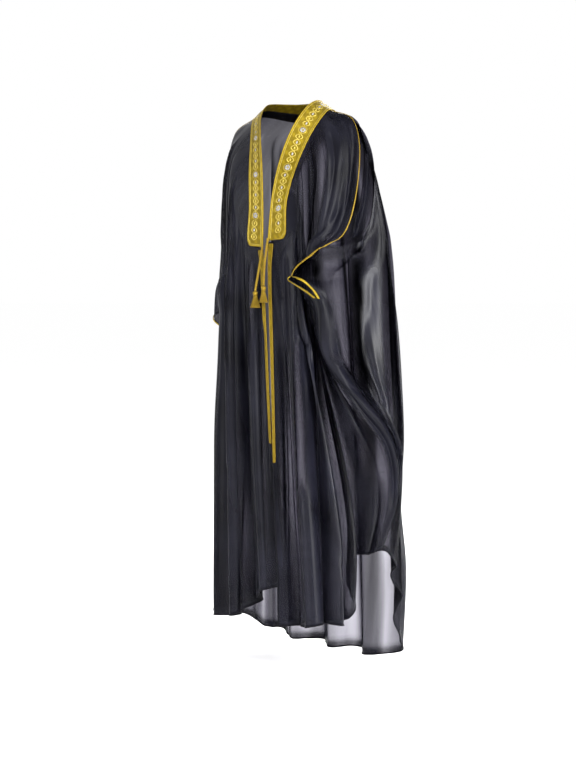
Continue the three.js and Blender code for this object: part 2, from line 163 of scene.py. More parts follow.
def makeChiffon(look):
    material, tree, shader = newMaterial(
        "sheerBlackChiffon", Roughness=look["roughness"], Specular_IOR_Level=look["gloss"],
        Sheen_Weight=look["sheen"], Sheen_Roughness=look["sheenRoughness"],
        Sheen_Tint=(*look["sheenTint"], 1))
    coords = addNode(tree, "ShaderNodeTexCoord").outputs
    height = addNode(tree, "ShaderNodeSeparateXYZ", {"Vector": coords["Object"]}).outputs["Z"]
    # alpha is a little higher up the cloth: partly fuller gathers, partly painted shade standing in for the
    # wearer's body behind
    heightFullnessAndPaintedShade = mapRange(tree, height, look["heights"], look["faceAlpha"], interpolation_type="SMOOTHSTEP")
    pleats = noise(tree, mapped(tree, coords["UV"], Scale=look["pleats"]), 1.0, look["pleatDetail"])
    fuller = mapRange(tree, pleats, look["crowded"], look["fuller"])
    # the attribute read here makes the cloth denser and darker where it lies in more layers and where shade is
    # painted, and thinner and lighter as a painted highlight on ridges
    layers = addNode(tree, "ShaderNodeAttribute", attribute_name="layers").outputs["Fac"]
    denser = mapRange(tree, layers, (0, 1), look["layersAndShadeAlpha"])
    dense = mathNode(tree, "MULTIPLY", mathNode(tree, "MULTIPLY", heightFullnessAndPaintedShade, fuller), denser)
    tree.links.new(mathNode(tree, "MINIMUM", dense, 1.0), shader.inputs["Alpha"])
    mottle = noise(tree, coords["Object"], look["mottleScale"], look["mottleDetail"])
    paint(tree, shader, mottle, (look["mottle"][0], look["deep"]), (look["mottle"][1], look["lit"]))
    weave = mathNode(tree, "MAXIMUM", *(wave(tree, coords["UV"], look["yarnsPerMetre"], way) for way in "XY"))
    crepe = noise(tree, coords["UV"], look["crepeScale"], look["crepeDetail"])
    fine = mathNode(tree, "MULTIPLY", mathNode(tree, "ADD", weave, crepe), look["fine"])
    bump(tree, shader, mathNode(tree, "ADD", pleats, fine), look["relief"], look["pleatDepth"])
    yarn = addNode(tree, "ShaderNodeVolumeAbsorption", {
        "Color": (*look["tint"], 1), "Density": -math.log(look["letsThrough"]) / clothWall})
    tree.links.new(yarn.outputs["Volume"], tree.nodes["Material Output"].inputs["Volume"])
    return material


hemLook = {
    "roughness": 0.6, "gloss": 0.05, "deep": (0.0010, 0.0010, 0.0016), "lit": (0.004, 0.004, 0.006),
    "ramp": (0.2, 0.9), "twist": 604.789, "wobble": 2.0, "relief": 0.3, "depth": 0.0002,
}


def makeHemCloth(look):
    material, tree, shader = newMaterial("rolledHem", Roughness=look["roughness"],
                                         Specular_IOR_Level=look["gloss"])
    coords = addNode(tree, "ShaderNodeTexCoord").outputs
    twist = wave(tree, coords["UV"], look["twist"], "DIAGONAL", look["wobble"])
    paint(tree, shader, twist, (look["ramp"][0], look["deep"]), (look["ramp"][1], look["lit"]))
    bump(tree, shader, twist, look["relief"], look["depth"])
    return material


# metal thread laid side by side; pitch and lozenges are so many to the metre, slant is in degrees
threadLooks = {
    "bandGroundThread": {"dark": (0.058, 0.038, 0.0008), "light": (0.15, 0.106, 0.003), "shade": 1,
                         "roughness": 0.5, "metal": 0.5, "pitch": 1400, "slant": 90, "depth": 0.0003},
    "braidGoldThread": {"dark": (0.11, 0.07, 0.002), "light": (0.42, 0.3, 0.022), "shade": 0.72,
                        "roughness": 0.42, "metal": 0.55, "pitch": 700, "slant": 32, "depth": 0.0004},
    "stitchGoldThread": {"dark": (0.22, 0.16, 0.015), "light": (0.6, 0.48, 0.11), "shade": 0.72,
                         "roughness": 0.4, "metal": 0.55, "pitch": 1600, "slant": 0, "depth": 0.0002},
    "silverThread": {"dark": (0.2, 0.2, 0.21), "light": (0.42, 0.42, 0.43), "shade": 0.72,
                     "roughness": 0.4, "metal": 0.5, "pitch": 1600, "slant": 0, "depth": 0.0002},
    "cordGoldThread": {"dark": (0.085, 0.048, 0.002), "light": (0.31, 0.205, 0.02), "shade": 0.72,
                       "roughness": 0.45, "metal": 0.5, "pitch": 1100, "slant": 55, "depth": 0.0003},
}
threadFinish = {"gloss": 0.12, "wobble": 1.5, "glintScale": 240.0, "glintDetail": 3.0, "glint": (1.2, 0.5),
                "ramp": (0.12, 0.75), "relief": 0.5}
lozengeLook = {"perMetre": 150, "threads": 0.6, "crossing": 0.55}


def makeThread(name, lozenges=None):
    look, finish = threadLooks[name], threadFinish
    material, tree, shader = newMaterial(name, Roughness=look["roughness"], Metallic=look["metal"],
                                         Specular_IOR_Level=finish["gloss"])
    coords = addNode(tree, "ShaderNodeTexCoord").outputs
    turned = mapped(tree, coords["UV"], Rotation=(0, 0, math.radians(look["slant"])))
    threads = wave(tree, turned, look["pitch"], "X", finish["wobble"])
    glint = noise(tree, coords["Object"], finish["glintScale"], finish["glintDetail"])
    mixed = mathNode(tree, "MULTIPLY", threads, mathNode(tree, "MULTIPLY_ADD", glint, *finish["glint"]))
    if lozenges:
        slants = coords["UV"], mapped(tree, coords["UV"], Scale=(1, -1, 1))
        bands = (wave(tree, slant, lozenges["perMetre"], "DIAGONAL") for slant in slants)
        crossing = mathNode(tree, "MULTIPLY", *bands)
        mixed = mathNode(tree, "ADD", mathNode(tree, "MULTIPLY", mixed, lozenges["threads"]),
                         mathNode(tree, "MULTIPLY", crossing, lozenges["crossing"]))
    dark, light = ([part * look["shade"] for part in look[key]] for key in ("dark", "light"))
    paint(tree, shader, mixed, (finish["ramp"][0], dark), (finish["ramp"][1], light))
    bump(tree, shader, threads, finish["relief"], look["depth"])
    return material


chiffon = makeChiffon(chiffonLook)
hemCloth = makeHemCloth(hemLook)
bandGround = makeThread("bandGroundThread", lozengeLook)
braidGold, stitchGold, silverThread, cordGold = (
    makeThread(name) for name in ("braidGoldThread", "stitchGoldThread", "silverThread", "cordGoldThread"))
print("materials made")


# mesh helpers
def toMesh(bm, name):
    mesh = bpy.data.meshes.new(name)
    bm.to_mesh(mesh)
    bm.free()
    return mesh


def addPiece(mesh, name, material):
    mesh.polygons.foreach_set("use_smooth", [True] * len(mesh.polygons))
    mesh.materials.append(material)
    piece = addObject(name, mesh)
    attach(piece, "root")
    return piece


def finishPiece(bm, name, material):
    return addPiece(toMesh(bm, name), name, material)


def unit(vectors):
    return vectors / np.maximum(np.linalg.norm(vectors, axis=-1, keepdims=True), 1e-12)


def runLength(points):
    return np.concatenate([[0], np.cumsum(np.linalg.norm(np.diff(points, axis=0), axis=1))])


# sideways and upward directions along a path; without upward they are carried along it
def pathFrames(path, upward=None):
    along = unit(np.gradient(path, axis=0))
    if upward is None:
        anySide = (0.31, 0.95, 0.05)
        carried = [unit(np.cross(along[0], anySide))]
        for direction in along[1:]:
            last = carried[-1]
            carried.append(unit(last - direction * np.dot(last, direction)))
        upward = np.array(carried)
    sideways = unit(np.cross(along, upward))
    return sideways, np.cross(sideways, along)


# a closed tube or flat braid along a path, its UV in metres round and along
def addTube(bm, path, halfWidth, halfHeight, sides=8, upward=None):
    path = np.asarray(path, float)
    sideways, up = pathFrames(path, upward)
    count = len(path)
    halfWidth, halfHeight = (np.broadcast_to(value, count)[:, None] for value in (halfWidth, halfHeight))
    uv = bm.loops.layers.uv.verify()
    verts = bmesh.ops.create_grid(bm, x_segments=sides, y_segments=count - 1, size=1, calc_uvs=True)["verts"]
    girth = 2 * math.pi * float(max(halfWidth.max(), halfHeight.max()))
    length = runLength(path)[-1]
    faces = {face for vert in verts for face in vert.link_faces}
    for face in faces:
        for loop in face.loops:
            loop[uv].uv = (loop[uv].uv.x * girth, loop[uv].uv.y * length)
    for vert in verts:
        turn = (vert.co.x + 1) * math.pi
        i = int(round((vert.co.y + 1) / 2 * (count - 1)))
        outward = sideways[i] * halfWidth[i] * math.cos(turn) + up[i] * halfHeight[i] * math.sin(turn)
        vert.co = path[i] + outward
    ends = [vert for vert in verts if any(edge.is_boundary for edge in vert.link_edges)]
    bmesh.ops.remove_doubles(bm, verts=ends, dist=1e-7)
    rims = {edge for face in faces if face.is_valid for edge in face.edges if edge.is_boundary}
    bmesh.ops.holes_fill(bm, edges=list(rims), sides=sides)


# a closed solid of revolution in an empty mesh; profile rows are radius and height, from top to bottom
def addLathe(bm, profile, at, steps=24):
    verts = [bm.verts.new((radius, 0, height)) for radius, height in profile]
    edges = [bm.edges.new(pair) for pair in zip(verts, verts[1:])]
    bmesh.ops.spin(bm, geom=verts + edges, cent=(0, 0, 0), axis=(0, 0, 1), steps=steps, angle=2 * math.pi,
                   use_merge=True)
    bmesh.ops.remove_doubles(bm, verts=bm.verts, dist=1e-6)
    bmesh.ops.translate(bm, verts=bm.verts, vec=Vector(at))


# the cloth's form
# Hang lines run from the band's inner edge over the body to the hem; stations are the levels down each
# line: band's inner and outer edge, shoulder, chest, elbow, forearm, waist, hip, thigh, knee, calf, shin
# and hem. Millimetres here, as in the solids; the points come out in metres.
drops = [0, 0, 0.035, 0.09, 0.19, 0.25, 0.3, 0.38, 0.49, 0.6, 0.72, 0.84, 1]
waist, hip, lastStation = 6, 7, 12
seamRight, seamLeft, lastLine = 6, 16, 22

# height, then half widths right and left, depths front and back, and how far the fronts meet off centre
sections = [
    (-40, 165, 165, 60, 100, 14), (-110, 200, 196, 100, 110, 14), (-200, 213, 225, 128, 120, 14),
    (-340, 220, 250, 142, 128, 20), (-480, 232, 262, 150, 138, 30), (-640, 240, 275, 152, 150, 41),
    (-800, 247, 286, 152, 160, 50), (-960, 253, 292, 154, 170, 60), (-1120, 258, 296, 156, 180, 73),
    (-1280, 268, 302, 160, 188, 90), (-1540, 274, 302, 166, 198, 104),
]

# name, angle, hem height, band's inner edge, band's outer edge
rightLines = [
    ("opening", 0, -1302, (20, -143, -390), (20, -143, -395)),
    ("bandCorner", 11, -1326, (20, -143, -388), (-30, -141, -388)),
    ("chestInner", 20, -1366, (15, -136, -276), (-37, -133, -276)),
    ("chestMid", 31, -1402, (3, -125, -172), (-49, -119, -179)),
    ("chestOuter", 45, -1418, (-24, -98, -85), (-72, -84, -92)),
    ("armFront", 64, -1428, (-58, -52, -22), (-104, -38, -38)),
    ("seam", 86, -1436, (-74, -5, 10), (-122, 0, -21)),
    ("sleeve", 104, -1450, (-72, 22, 15), (-114, 38, -18)),
    ("armBack", 122, -1474, (-64, 42, 16), (-98, 70, -22)),
    ("backOuter", 141, -1506, (-50, 56, 16), (-74, 92, -28)),
    ("backMid", 160, -1530, (-26, 66, 15), (-38, 106, -34)),
    ("centreBack", 180, -1536, (6, 70, 15), (6, 110, -36)),
]

# angle and hem height are 0 where leftSleeve gives the whole line
leftLines = [
    ("backMid", 160, -1540, (32, 66, 15), (45, 105, -34)),
    ("backOuter", 0, 0, (58, 56, 15), (84, 92, -28)),
    ("armBack", 0, 0, (74, 42, 15), (110, 70, -22)),
    ("sleeve", 0, 0, (84, 22, 15), (128, 38, -17)),
    ("seam", 0, 0, (88, -5, 11), (136, 0, -16)),
    ("armFront", 0, 0, (88, -45, -10), (136, -28, -34)),
    ("valley", 0, 0, (76, -92, -70), (124, -72, -92)),
    ("chestMid", 0, 0, (58, -124, -162), (108, -112, -178)),
    ("chestInner", 25, -1392, (40, -134, -265), (91, -130, -265)),
    ("bandCorner", 12, -1404, (33, -140, -371), (84, -137, -371)),
    ("opening", 0, -1408, (33, -140, -373), (33, -140, -378)),
]

# the left sleeve over a bent arm, station by station from shoulder to hem
leftSleeve = {
    "backOuter": [(184, 75, -84), (214, 90, -180), (240, 100, -335), (246, 108, -400), (250, 116, -462),
                  (260, 130, -590), (270, 138, -760), (276, 141, -920), (268, 140, -1090), (284, 144, -1270),
                  (276, 142, -1500)],
    "armBack": [(206, 32, -72), (250, 38, -172), (282, 54, -335), (285, 66, -400), (283, 80, -455),
                (279, 98, -580), (286, 106, -740), (296, 112, -890), (294, 108, -1020), (296, 104, -1150),
                (306, 98, -1310)],
    "sleeve": [(218, 12, -58), (280, -3, -158), (296, -32, -338), (280, -78, -416), (252, -122, -474),
               (256, -116, -550), (266, -76, -690), (306, 4, -820), (322, 70, -940), (318, 84, -1080),
               (304, 52, -1222)],
    "seam": [(212, -2, -44), (264, -38, -150), (256, -101, -357), (207, -148, -397), (152, -186, -470),
             (222, -165, -528), (216, -132, -674), (276, -44, -806), (311, 50, -918), (313, 74, -1070),
             (290, 34, -1210)],
    "armFront": [(184, -50, -80), (226, -88, -172), (218, -122, -325), (182, -142, -400), (154, -148, -456),
                 (164, -136, -540), (190, -100, -690), (244, -40, -845), (276, 22, -970), (280, 38, -1096),
                 (270, 6, -1218)],
    "valley": [(150, -98, -140), (172, -116, -205), (170, -122, -320), (162, -118, -400), (156, -110, -460),
               (160, -100, -560), (174, -76, -720), (190, -44, -880), (200, -14, -1010), (204, 2, -1110),
               (204, 0, -1236)],
    "chestMid": [(120, -128, -222), (130, -138, -285), (140, -146, -390), (146, -148, -450), (152, -148, -510),
                 (166, -142, -600), (192, -126, -740), (222, -104, -890), (246, -80, -1060), (258, -66, -1210),
                 (258, -70, -1392)],
}
rightSeam = [(-196, 0, -60), (-208, -8, -165), (-214, -22, -340), (-219, -26, -440), (-236, -20, -566),
             (-208, 0, -628)]

# the large folds: station from, station to, hang line at the top and at the foot, width in lines, depth
folds = [
    # right front
    (1.2, 12, 0.9, 0.8, 0.3, 15), (1.6, 12, 1.7, 1.8, 0.28, -21), (2, 12, 2.3, 2.4, 0.2, 8),
    (1.4, 12, 2.8, 3, 0.32, 19), (2.4, 12, 3.5, 3.5, 0.18, -10), (3, 12, 4.1, 4, 0.26, -26),
    (1.4, 7, 4.3, 4.5, 0.26, -10), (1.6, 6, 5.2, 5.3, 0.28, 3), (6.4, 12, 4.8, 4.7, 0.3, 14),
    (7.2, 12, 5.6, 5.5, 0.24, -16),
    # right side and back
    (7.4, 12, 6.5, 6.4, 0.26, 13), (6.8, 12, 7.2, 7.1, 0.28, -22), (3, 12, 7.9, 7.8, 0.32, 20),
    (2, 12, 8.6, 8.5, 0.28, -24), (1.6, 12, 9.1, 9.2, 0.26, 17), (1.8, 12, 9.8, 9.8, 0.3, -25),
    (1.5, 12, 10.4, 10.5, 0.3, 21), (2.2, 12, 11, 11.1, 0.24, -22), (1.5, 12, 11.6, 11.6, 0.3, 23),
    (2, 12, 12.2, 12.2, 0.28, -24), (1.8, 12, 12.8, 12.8, 0.28, 17), (3.4, 12, 13.4, 13.5, 0.22, -18),
    (6, 12, 14.2, 14.2, 0.24, -13),
    # left sleeve and the drape that swings from it
    (2.4, 7.8, 14.2, 15.5, 0.3, -20), (7, 10.4, 15.3, 15.6, 0.2, -12), (7.2, 11, 14.8, 15.1, 0.24, 11),
    (1.4, 5.4, 15.5, 15.4, 0.26, -7),
    # left front
    (1.4, 6.6, 16.6, 16.7, 0.24, -9), (1.4, 7, 17.3, 17.2, 0.26, 9), (1.6, 9, 18.3, 18.4, 0.24, 9),
    (1.8, 12, 18.8, 18.7, 0.24, 10), (2, 12, 19.3, 19.1, 0.2, -17), (1.8, 12, 19.6, 19.5, 0.18, 9),
    (1.6, 12, 20.1, 19.9, 0.22, -24), (1.4, 12, 20.6, 20.6, 0.32, 19), (1.6, 12, 21.4, 21.4, 0.28, -17),
]
foldLook = {"growth": 0.5, "rise": 0.55, "fadeFrom": 0.6}

# the lips of each hand opening pull the cloth aside: seam line, front lip, back lip
handOpenings = [(seamRight, (-8, -44, 6), (-6, 40, -6)), (seamLeft, (-22, -12, 14), (14, -24, 19))]
openingReach = 2.4
# leftEdge is how far the left front's edge lies aside, and how it drifts in x and y on its way down
ringLook = {"square": 0.86, "backMiddle": 6, "leftEdge": (13, -14, -10)}


def ringPoint(side, degrees, z):
    z = max(z, sections[-1][0])
    heights = [-row[0] for row in sections]
    columns = zip(*(row[1:] for row in sections))
    right, left, front, back, apart = (np.interp(-z, heights, column) for column in columns)
    across = math.sin(math.radians(degrees)) ** ringLook["square"]
    along = abs(math.cos(math.radians(degrees))) ** ringLook["square"]
    half = right if side < 0 else left
    if degrees < 90:
        return (side * half * across + apart * along, -front * along, z)
    return (side * half * across + ringLook["backMiddle"] * along, back * along, z)


def hangLine(side, line):
    name, angle, hem, inner, outer = line
    points = [inner, outer]
    for station in range(2, lastStation + 1):
        drop = drops[station]
        if side > 0 and name in leftSleeve:
            points.append(leftSleeve[name][station - 2])
        elif side < 0 and name == "seam" and station <= hip:
            points.append(rightSeam[station - 2])
        else:
            x, y, z = ringPoint(side, angle, outer[2] + (hem - outer[2]) * drop)
            if side > 0 and name == "opening":
                aside, driftX, driftY = ringLook["leftEdge"]
                x, y = x + aside + driftX * drop, y + driftY * drop
            points.append((x, y, z))
    return points


hangLines = [hangLine(-1, line) for line in rightLines] + [hangLine(1, line) for line in leftLines]
cage = np.array(hangLines, float).transpose(1, 0, 2)  # station, line, xyz


# centripetal curve through points at the places given; with each, every place has its own curve
def throughPoints(points, at, each=False):
    count, tiny = len(points), 1e-4
    at = np.clip(at, 0, count - 1)
    i = np.minimum(at.astype(int), count - 2)
    points = np.concatenate([[2 * points[0] - points[1]], points, [2 * points[-1] - points[-2]]])
    p0, p1, p2, p3 = (points[i + k, np.arange(len(at))] if each else points[i + k] for k in range(4))
    d0, d1, d2 = (((b - a) ** 2).sum(-1, keepdims=True) ** 0.25 for a, b in ((p0, p1), (p1, p2), (p2, p3)))
    d1 = np.where(d1 < tiny, 1, d1)
    d0, d2 = np.where(d0 < tiny, d1, d0), np.where(d2 < tiny, d1, d2)
    t1 = ((p1 - p0) / d0 - (p2 - p0) / (d0 + d1) + (p2 - p1) / d1) * d1
    t2 = ((p2 - p1) / d1 - (p3 - p1) / (d1 + d2) + (p3 - p2) / d2) * d1
    t = (at - i).reshape(-1, *[1] * (p1.ndim - 1))
    return p1 + t1 * t + (3 * (p2 - p1) - 2 * t1 - t2) * t ** 2 + (2 * (p1 - p2) + t1 + t2) * t ** 3


def smoothStep(value):
    value = np.clip(value, 0, 1)
    return value * value * (3 - 2 * value)


def basePoints(line, station):
    stations, which = np.unique(station, return_inverse=True)
    rows = throughPoints(cage, stations)
    return throughPoints(rows[which].transpose(1, 0, 2), line, each=True)


def foldDepth(line, station):
    total = np.zeros(len(line))
    for start, end, top, foot, width, depth in folds:
        k = (station - start) / (end - start)
        away = (line - top - (foot - top) * k) / width
        size = depth * (1 + foldLook["growth"] * k) * smoothStep(k / foldLook["rise"])
        if end < lastStation:
            size = size * (1 - smoothStep((k - foldLook["fadeFrom"]) / (1 - foldLook["fadeFrom"])))
        total += np.where(k > 0, size * np.exp(-away ** 2), 0)
    return total


def outwardNormals(pointsAt, line, station, step=0.03):
    left, right = np.minimum(line + step, lastLine), np.maximum(line - step, 0)
    below, above = np.minimum(station + step, lastStation), np.maximum(station - step, 0)
    across = pointsAt(left, station) - pointsAt(right, station)
    along = pointsAt(line, below) - pointsAt(line, above)
    return unit(np.cross(across, along))


# the finer creases: line and station where each starts and ends, width in lines, depth in millimetres
creases = [
    # right front
    (0.35, 2.5, 0.4, 12, 0.12, 6.8), (0.55, 4, 0.6, 12, 0.1, -6.8), (1.15, 1.8, 1.2, 8, 0.1, -6),
    (1.35, 3, 1.45, 12, 0.12, 7.6), (2.05, 2.2, 2.1, 9, 0.1, -6.8), (2.6, 2.6, 2.7, 12, 0.1, -8.5),
    (3.25, 1.8, 3.3, 9, 0.12, 7.6), (3.7, 3.4, 3.75, 12, 0.1, 8.5), (4.35, 5, 4.4, 12, 0.1, -6.8),
    (4.6, 1.6, 4.55, 7, 0.1, 5.1), (5.1, 3, 5, 12, 0.12, -8.5), (5.35, 6.5, 5.2, 12, 0.1, 6.8),
    (5.7, 1.6, 5.75, 5.6, 0.1, -4.2), (5.9, 7.2, 5.9, 12, 0.09, 6), (5.2, 4.6, 6.6, 5.3, 0.12, -5.1),
    (5.4, 5.2, 6.7, 5.7, 0.1, 4.2),
    # right side and back
    (6.8, 7.5, 6.75, 12, 0.1, 6.8), (7.5, 7, 7.5, 12, 0.1, -6.8), (7.6, 2.2, 7.7, 7, 0.12, 5.1),
    (8.2, 2.4, 8.15, 12, 0.1, -8.5), (8.9, 2, 8.85, 10, 0.1, 6.8), (9.4, 1.8, 9.5, 12, 0.1, -8.5),
    (9.6, 3, 9.6, 12, 0.09, 6.8), (10.1, 1.6, 10.15, 9, 0.1, 7.6), (10.7, 2.2, 10.75, 12, 0.1, -8.5),
    (11.3, 1.7, 11.35, 12, 0.1, 7.6), (11.85, 1.6, 11.85, 8, 0.1, -6.8), (12, 4, 12, 12, 0.09, 6.8),
    (12.5, 1.8, 12.5, 12, 0.1, 7.6), (13.1, 2, 13.15, 12, 0.12, -6.8), (13.7, 2.6, 13.8, 12, 0.1, 8.5),
    (14, 1.6, 14.3, 6, 0.12, -5.1), (14.5, 6, 14.5, 12, 0.1, 6.8),
    # left sleeve, down the arm and across the elbow
    (14.6, 1.5, 15, 4.6, 0.14, -6.8), (14.9, 1.6, 15.3, 5, 0.12, 6), (15.2, 1.4, 15.5, 4.4, 0.1, -6),
    (15.75, 1.4, 15.8, 4.8, 0.1, 5.1), (14.6, 4.3, 16.2, 4.9, 0.15, -6.8), (14.8, 4, 16, 4.5, 0.12, 5.1),
    (14.5, 4.9, 16.1, 5.3, 0.14, -6), (14.9, 5.4, 16, 5.6, 0.12, 5.1),
    # inside of the elbow
    (16.2, 2, 16.4, 5, 0.12, -6.8), (16.4, 3.6, 17.6, 4.6, 0.14, -8.5), (16.3, 4.2, 17.8, 5, 0.12, 6.8),
    (16.2, 4.8, 17.9, 5.8, 0.12, -7.6), (16.3, 5.6, 17.8, 6.8, 0.12, 6.8),
    # the drape that swings back from the hand
    (14.4, 6.6, 15.3, 10.5, 0.12, -8.5), (14.9, 6.4, 15.6, 10, 0.1, 7.6), (15.2, 7.2, 15.8, 11, 0.1, -7.6),
    (16.3, 7.2, 16.3, 11.6, 0.12, -8.5), (16.6, 6.8, 16.7, 12, 0.1, 7.6), (17, 7, 17.1, 12, 0.12, -10.2),
    # left front
    (17.5, 1.6, 17.5, 9, 0.1, -6.8), (17.8, 2.2, 17.9, 12, 0.12, 7.6), (18.05, 1.5, 18.1, 6, 0.09, -5.1),
    (18.55, 1.7, 18.6, 12, 0.09, -6.8), (19, 2.4, 18.95, 12, 0.09, 6.8), (19.85, 1.8, 19.75, 12, 0.09, -6),
    (20.3, 1.5, 20.35, 9, 0.1, -6), (20.9, 1.7, 20.95, 12, 0.1, -7.6), (21.15, 3, 21.2, 12, 0.09, 6.8),
    (21.7, 2.5, 21.7, 12, 0.09, 5.1),
    # the ones that catch the light most: left front, from the shoulder down
    (18.5, 1.5, 18.45, 5, 0.12, 5.5), (18.95, 1.8, 18.95, 5.5, 0.12, -7), (17.1, 1.6, 17.2, 5, 0.2, -10),
    (17.45, 1.7, 17.55, 4.4, 0.14, 6), (17.8, 1.8, 17.8, 6, 0.18, 8), (16.5, 1.6, 16.3, 3.9, 0.12, -6),
    (20.95, 1.6, 21.1, 6.5, 0.12, -7), (20.5, 1.6, 20.5, 4.5, 0.12, 5.5), (20, 1.5, 20.05, 5.6, 0.1, -5),
    (19.35, 6, 19.75, 10.4, 0.13, -10), (20.55, 5.5, 20.4, 10, 0.16, 8), (18.95, 6.5, 19, 11, 0.16, 8),
    (19.75, 10.4, 19, 12, 0.14, -8), (20.5, 9.2, 20.5, 12, 0.12, -8), (18.3, 5, 18.45, 12, 0.14, -7),
    # right front
    (3.2, 1.6, 2.2, 4.5, 0.12, 6), (1.55, 1.2, 2.2, 12, 0.14, -9), (2.8, 3, 2.8, 8, 0.14, 7),
    (0.15, 4, 0.35, 12, 0.1, -6), (0.75, 1.4, 1.05, 8, 0.12, 6), (2.85, 9.4, 4.55, 12, 0.15, -9),
    (2.3, 9, 2.75, 12, 0.13, -8), (4.05, 1.5, 3.4, 7, 0.12, -6), (3.55, 5.5, 3.3, 12, 0.13, 7),
    (4.7, 1.5, 5, 5.5, 0.11, 5), (5.2, 6.2, 5.4, 12, 0.12, -7),
    # left sleeve and the drape below it
    (14.7, 6, 15.2, 9.2, 0.14, 8), (14.35, 5.5, 14.8, 10.5, 0.14, -9), (15.95, 8.6, 14.95, 9.6, 0.22, -10),
    (15.25, 8.7, 14, 8.9, 0.18, -8), (15.8, 8, 14.6, 8.2, 0.18, 7), (15.9, 9.6, 14.9, 10.6, 0.16, -7),
    (15.7, 5.2, 15.2, 4.6, 0.15, -6), (16, 3.6, 14.65, 4.3, 0.18, -7), (16, 4.3, 14.6, 5, 0.15, 6),
    (15.8, 2, 15.2, 3.4, 0.14, 6), (15.95, 4.9, 17.4, 5.7, 0.12, -7), (15.95, 5.5, 17.2, 6.9, 0.13, 7),
    # back
    (7.2, 2, 7.3, 12, 0.13, -8), (8, 1.6, 8.1, 9, 0.14, 7), (8.95, 1.5, 8.9, 12, 0.12, -9),
    (9.95, 1.6, 10.1, 12, 0.13, 7), (10.9, 1.4, 11, 10, 0.12, -9), (11.45, 1.8, 11.4, 12, 0.13, 7),
    (12.35, 1.5, 12.4, 12, 0.13, -9), (13.2, 2, 13.3, 11, 0.14, 7), (13.9, 4, 14, 12, 0.12, -8),
]
creaseLook = {"sharp": 1.5, "round": 0.2, "rise": 0.2, "fade": 0.25, "from": 1.05, "over": 0.7}

# slow waves that keep the cloth from lying too even: waves per line, drift per station, phase, and depth at
# the hem
ripples = [(0.31, 0.021, 0.4, 3.4), (0.53, -0.034, 1.7, 2.6), (0.83, 0.055, 2.9, 1.8),
           (1.27, -0.045, 0.9, 1.3)]
rippleSwell = {"share": 0.4, "perLine": 0.9, "perStation": 0.35, "perPhase": 3}


def creaseDepth(line, station):
    total, look = np.zeros(len(line)), creaseLook
    for top, start, foot, end, width, depth in creases:
        run = math.hypot(foot - top, end - start)
        k = ((line - top) * (foot - top) + (station - start) * (end - start)) / run ** 2
        away = ((line - top) * (end - start) - (station - start) * (foot - top)) / run / width
        faded = 1 if end >= lastStation else smoothStep((1 - k) / look["fade"])
        ridge = np.exp(look["sharp"] * (look["round"] - np.sqrt(away ** 2 + look["round"] ** 2)))
        total += depth * smoothStep(k / look["rise"]) * faded * ridge
    return total


def rippleDepth(line, station):
    total, swell = np.zeros(len(line)), rippleSwell
    for perLine, drift, phase, depth in ripples:
        turn = swell["perLine"] * line + swell["perStation"] * station + swell["perPhase"] * phase
        size = depth * (1 - swell["share"] + swell["share"] * np.sin(turn))
        total += size * np.sin(2 * math.pi * (perLine * line + drift * station) + phase)
    return total * station / lastStation


# where the cloth lies in more layers or fewer, and where it is made denser as painted shade or thinner as
# painted highlight: line, station, reach in lines, reach in stations, change
layeringAndPaintedShade = [
    # left chest and shoulder
    (18.1, 2.7, 0.85, 1.9, -0.62), (18.5, 2.6, 0.07, 1.3, -0.4), (17.1, 3, 0.25, 2, 0.55),
    (20.3, 2.6, 0.6, 2, 0.45), (19.2, 3.2, 0.08, 1.6, 0.5), (17.75, 2.6, 0.08, 1.6, 0.45),
    (19.6, 1.9, 0.06, 0.9, -0.4), (16.4, 1.6, 0.5, 0.8, -0.25),
    # left sleeve and forearm
    (15.5, 5.3, 0.6, 0.8, -0.5), (16, 3.4, 0.4, 0.9, -0.45), (16.9, 4.3, 0.3, 0.7, 0.5),
    (15.9, 7, 0.4, 0.4, 0.4),
    # left drape, under the arm
    (14.8, 7.4, 0.2, 1.8, -1), (14.05, 6.8, 0.24, 2.6, -0.85), (14.42, 7.2, 0.12, 1.6, 0.8),
    (15.8, 8.6, 0.5, 1.4, 0.8), (13.6, 8.4, 0.12, 2.4, 0.5),
    # left front, down to the hem
    (20.9, 4.6, 0.5, 1.2, 0.55), (21.1, 8.7, 0.6, 1.4, -0.65), (20.2, 9.6, 0.16, 2.2, 0.7),
    (19.1, 7.6, 0.25, 1.5, -0.5), (18.4, 8.5, 0.35, 2.2, 0.5), (16.95, 9.9, 0.45, 0.7, -0.95),
    (19.5, 11, 0.8, 0.8, -0.15), (21.9, 8, 0.3, 4, 0.5),
    # right front
    (2.3, 10.2, 0.35, 1.6, -0.6), (1.3, 8.5, 0.6, 2.6, 0.4), (3.4, 4, 1.4, 3, 0.35),
    (5.6, 1.8, 1, 0.9, 0.5), (5.35, 5, 0.55, 1.2, -0.95), (3.4, 5.2, 0.12, 2.4, -0.35),
    (4, 9.6, 0.14, 2.2, -0.4),
    # back
    (11, 3.5, 1.2, 1.6, -0.3), (9.8, 9.2, 0.9, 1.6, -0.3), (12.4, 9.6, 0.6, 1, -0.3),
    (13.6, 11.2, 1.6, 1.2, 0.12), (14.5, 10.8, 0.25, 1.2, 0.35),
]
layerAndPaintedShadeLook = {
    "front": 0.66, "back": 0.34,
    "creaseShadeAndHighlight": 0.46, "creaseDepth": 3.2,                 # painted shade in crease troughs and painted highlight on ridges; creases this deep, in millimetres, count so much
    "calmer": 0.55, "calmFrom": 9.6, "calmOver": 1.4,   # and less from this station down
    "hem": 0.45, "hemFrom": 11.88, "hemOver": 0.1,
}


